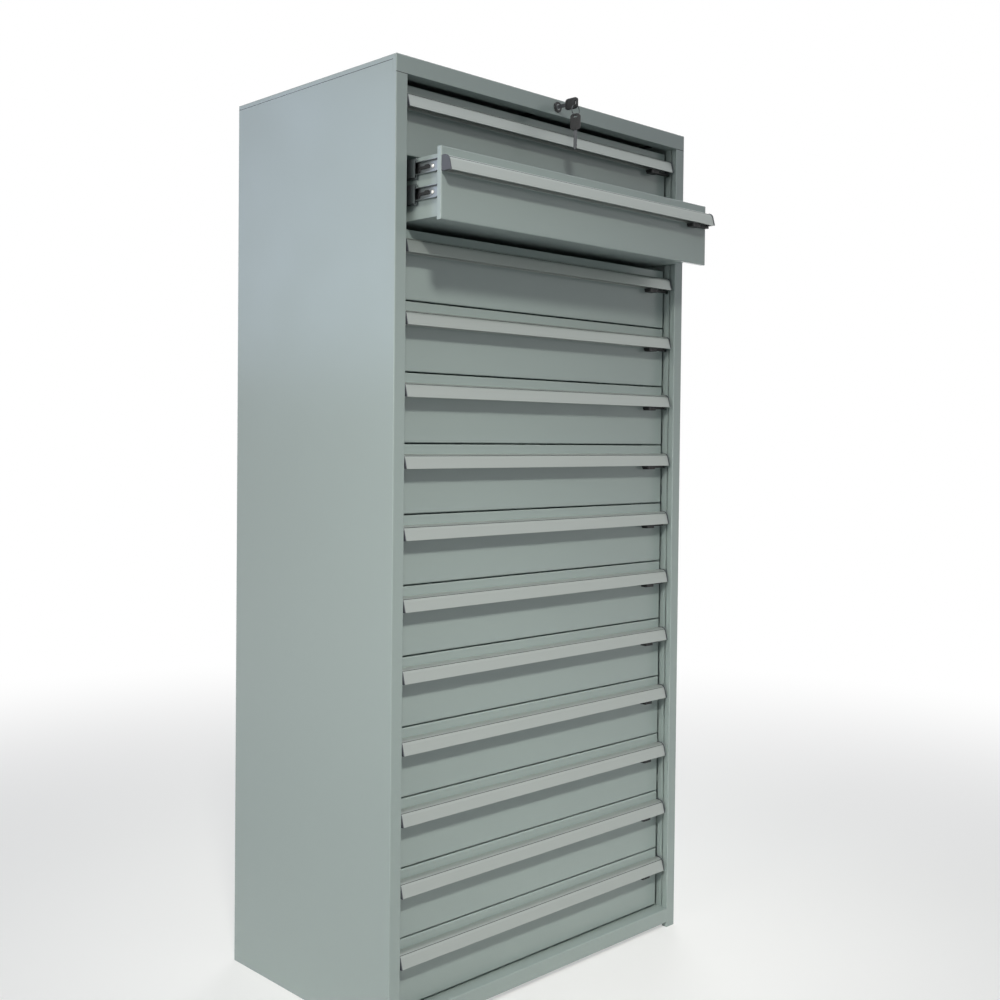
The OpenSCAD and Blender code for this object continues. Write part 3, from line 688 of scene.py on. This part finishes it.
# %% Spare key
SLOT_ALONG = 2.2 * MM
SPARE_TURN, POINT_DOWN = math.radians(14), math.radians(-90)
spare_slot = ring_middle - Vector((0, 0, RING_R + SLOT_ALONG - WIRE_R))
spare_mesh = nodes["key"].data.copy()
whole = bmesh.new()
whole.from_mesh(spare_mesh)
bmesh.ops.remove_doubles(whole, verts=whole.verts, dist=MERGE)
whole.to_mesh(spare_mesh)
whole.free()
spare_mesh.transform(Matrix.Translation(spare_slot) @ Matrix.Rotation(SPARE_TURN, 4, "Z")
                     @ Matrix.Rotation(POINT_DOWN, 4, "X") @ Matrix.Translation(-key_slot))
spare = in_scene("spare_key", spare_mesh)
for piece, slot_name in ((ring, "zinc_plated_steel"), (spare, "black_plastic")):
    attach(piece, "key")
print("ring and spare key hang to", round(min(v.co.z for v in spare_mesh.vertices), 3), "m")

# %% [markdown]
# ## Floor
#
# A pale floor takes the shadow and fades to white further out. Stronger lamps could make it white, but
# they would bleach the paint too. So the white is a glow in the floor's own material, and only for rays
# that look at the backdrop, straight from the camera or in a shiny surface.

# %% Floor
WHITE = (1, 1, 1, 1)
FLOOR_COLOUR, FLOOR_ROUGH = "#F0F0EE", 0.8
FLOOR_R, FLOOR_SIDES = 14.0, 96
FADE_START, FADE_END, NEAR_WHITE = 1.2, 4.0, 0.45


def seen_as_backdrop(tree):
    """One for rays that reach the backdrop from the camera or from a shiny surface, else nought."""
    rays = add_node(tree, "ShaderNodeLightPath").outputs
    either = rays["Is Camera Ray"]
    for name in ("Is Glossy Ray", "Is Transmission Ray"):
        both = add_node(tree, "ShaderNodeMath", operation="MAXIMUM", links={0: either, 1: rays[name]})
        either = both.outputs[0]
    return either


floor_shape = bmesh.new()
bmesh.ops.create_circle(floor_shape, cap_ends=True, segments=FLOOR_SIDES, radius=FLOOR_R)
floor = from_shape("floor", floor_shape)
# Pale matt floor: takes a soft shadow near the cabinet and goes white further out.
floor_finish, tree, shader, place = new_material("pale_floor", FLOOR_COLOUR, FLOOR_ROUGH)
distance = add_node(tree, "ShaderNodeVectorMath", operation="LENGTH", links={"Vector": place})
fade = add_node(tree, "ShaderNodeMapRange", interpolation_type="SMOOTHSTEP",
                inputs={"From Min": FADE_START, "From Max": FADE_END, "To Min": NEAR_WHITE},
                links={"Value": distance.outputs["Value"]})
share = add_node(tree, "ShaderNodeMath", operation="MULTIPLY",
                 links={0: fade.outputs["Result"], 1: seen_as_backdrop(tree)})
glow = add_node(tree, "ShaderNodeEmission", inputs={"Color": WHITE, "Strength": 1.0})
surface = add_node(tree, "ShaderNodeMixShader",
                   links={0: share.outputs[0], 1: shader.outputs["BSDF"], 2: glow.outputs["Emission"]})
tree.links.new(surface.outputs["Shader"], tree.nodes["Material Output"].inputs["Surface"])
floor.data.materials.append(floor_finish)
print("floor with a radius of", FLOOR_R, "m, white from", FADE_END, "m outwards")

# %% [markdown]
# ## Lights and surroundings
#
# The side panel is brighter than the drawer fronts in the photo, so the main light is large and soft on
# the left. A small light high in front draws the shadow below each grip, and weaker ones fill in from the
# front, from above and from behind. A spread below 180 degrees keeps a lamp's light together, as a grid
# does. The world gives a little even light, and the camera sees it white, like the floor.

# %% Lights
def area_light(name, place, target, size, power, colour, spread=180):
    """A rectangular lamp that aims at a target; size in metres, power in watts, spread in degrees."""
    data = bpy.data.lights.new(name, "AREA")
    data.shape = "RECTANGLE"
    data.size, data.size_y = size
    data.energy = power
    data.spread = math.radians(spread)
    data.color = linear(colour)[:3]
    light = in_scene(name, data)
    light.location = place
    light.rotation_euler = (Vector(target) - Vector(place)).to_track_quat("-Z", "Y").to_euler()


area_light("left_softbox", (-4.2, -0.2, 2.2), (0, 0, 1.4), (2.4, 2.0), 30, "#FFFCF8", spread=130)
area_light("high_window", (-2.7, -3.5, 4.6), (0, -0.3, 0.45), (0.6, 0.5), 8, "#FFFFF6", spread=32)
area_light("low_front_fill", (-2.9, -3.1, 1.2), (0.4, -0.3, 0.9), (0.9, 0.9), 1.6, "#F6FFFA", spread=60)
area_light("top_softbox", (0.0, -1.0, 4.8), (0, -1.0, 0), (3.6, 3.6), 38, "#E6EEFF")
area_light("rear_window", (-3.3, 3.75, 2.6), (-0.4, 0.0, 1.7), (1.5, 1.9), 22, "#CFE2FF")
area_light("right_rear_softbox", (3.7, 2.9, 2.4), (0.1, 0.0, 1.1), (2.4, 2.2), 46, "#FFFFFF", spread=120)

# %% World
AMBIENT_COLOUR, AMBIENT = "#EEF3F6", 0.11
world = bpy.data.worlds.new("studio")
scene.world = world
world.use_nodes = True
sky = world.node_tree
sky.nodes.clear()
even = add_node(sky, "ShaderNodeBackground", inputs={"Color": linear(AMBIENT_COLOUR), "Strength": AMBIENT})
white = add_node(sky, "ShaderNodeBackground", inputs={"Color": WHITE, "Strength": 1.0})
around = add_node(sky, "ShaderNodeMixShader",
                  links={0: seen_as_backdrop(sky), 1: even.outputs["Background"],
                         2: white.outputs["Background"]})
add_node(sky, "ShaderNodeOutputWorld", links={"Surface": around.outputs["Shader"]})
scene.view_settings.view_transform = "Standard"
print("even light of", AMBIENT, "under a", scene.view_settings.view_transform, "view")
